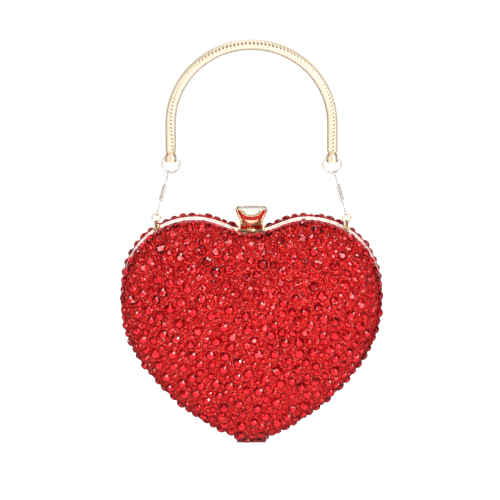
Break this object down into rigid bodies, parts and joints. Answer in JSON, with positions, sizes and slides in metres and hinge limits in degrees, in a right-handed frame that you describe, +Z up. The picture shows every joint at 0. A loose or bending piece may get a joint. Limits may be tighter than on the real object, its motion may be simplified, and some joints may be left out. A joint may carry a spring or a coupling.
{
  "type": "evening clutch",
  "caption": "Heart shaped hard evening clutch set with red crystals, gold frame, jewelled push clasp and arched chain handle.",
  "frame": {"origin": "underside of the handle's crown, where a hand or a hook carries the clutch", "axes": "+Z up, the front with its larger show of crystals faces -Y, +X to the right seen from the front"},
  "size_m": [0.1623, 0.0572, 0.2606],
  "materials": {
    "pale_gold": "polished pale gold plate",
    "bright_wire": "polished silvery plate",
    "steel_pin": "bright drawn steel",
    "hard_shell": "moulded, dark red",
    "red_crystal": "foiled red cut glass stones on a red bed",
    "satin_lining": "champagne satin",
    "clear_crystal": "clear cut glass"
  },
  "bodies": {
    "handle": {"handle_chain": "pale_gold", "handle_core_wire": "steel_pin", "left_end_cap": "pale_gold", "right_end_cap": "pale_gold"},
    "jump_rings": {"left_jump_ring": "bright_wire", "right_jump_ring": "bright_wire"},
    "clips": {"left_clip_wire": "bright_wire", "left_clip_spring": "bright_wire", "right_clip_wire": "bright_wire", "right_clip_spring": "bright_wire"},
    "small_rings": {"left_frame_ring": "pale_gold", "right_frame_ring": "pale_gold"},
    "back_half": {"back_frame": "pale_gold", "back_shell": "hard_shell", "back_crystal_cover": "red_crystal", "back_lining": "satin_lining", "back_hinge_leaf": "pale_gold", "back_left_hinge_rivet": "pale_gold", "back_right_hinge_rivet": "pale_gold", "hinge_pin": "steel_pin", "left_ring_lug": "pale_gold", "right_ring_lug": "pale_gold", "clasp_bracket": "pale_gold", "clasp_pivot_pin": "steel_pin", "clasp_torsion_spring": "steel_pin"},
    "front_half": {"front_frame": "pale_gold", "front_shell": "hard_shell", "front_crystal_cover": "red_crystal", "front_lining": "satin_lining", "front_hinge_leaf": "pale_gold", "front_left_hinge_rivet": "pale_gold", "front_right_hinge_rivet": "pale_gold", "clasp_keeper": "pale_gold"},
    "clasp": {"clasp_lever": "pale_gold", "clasp_basket": "pale_gold", "clasp_crystal": "clear_crystal"}
  },
  "joints": [
    {"name": "jump_rings_swing", "type": "hinge", "parent": "handle", "child": "jump_rings", "pos_m": [0, 0, -0.0674], "axis": [1, 0, 0], "range_deg": [-45, 45]},
    {"name": "clips_swing", "type": "hinge", "parent": "jump_rings", "child": "clips", "pos_m": [0, 0, -0.07841], "axis": [1, 0, 0], "range_deg": [-45, 45]},
    {"name": "small_rings_swing", "type": "hinge", "parent": "clips", "child": "small_rings", "pos_m": [0, 0, -0.10516], "axis": [1, 0, 0], "range_deg": [-45, 45]},
    {"name": "case_swing", "type": "hinge", "parent": "small_rings", "child": "back_half", "pos_m": [0, 0, -0.11028], "axis": [1, 0, 0], "range_deg": [-45, 45]},
    {"name": "lid_hinge", "type": "hinge", "parent": "back_half", "child": "front_half", "pos_m": [0, 0, -0.25234], "axis": [1, 0, 0], "range_deg": [0, 70]},
    {"name": "clasp_push", "type": "hinge", "parent": "back_half", "child": "clasp", "pos_m": [0, 0.0026, -0.1135], "axis": [-1, 0, 0], "range_deg": [0, 25], "stiffness_Nm_per_rad": 0.15, "springref_deg": -8.59}
  ]
}
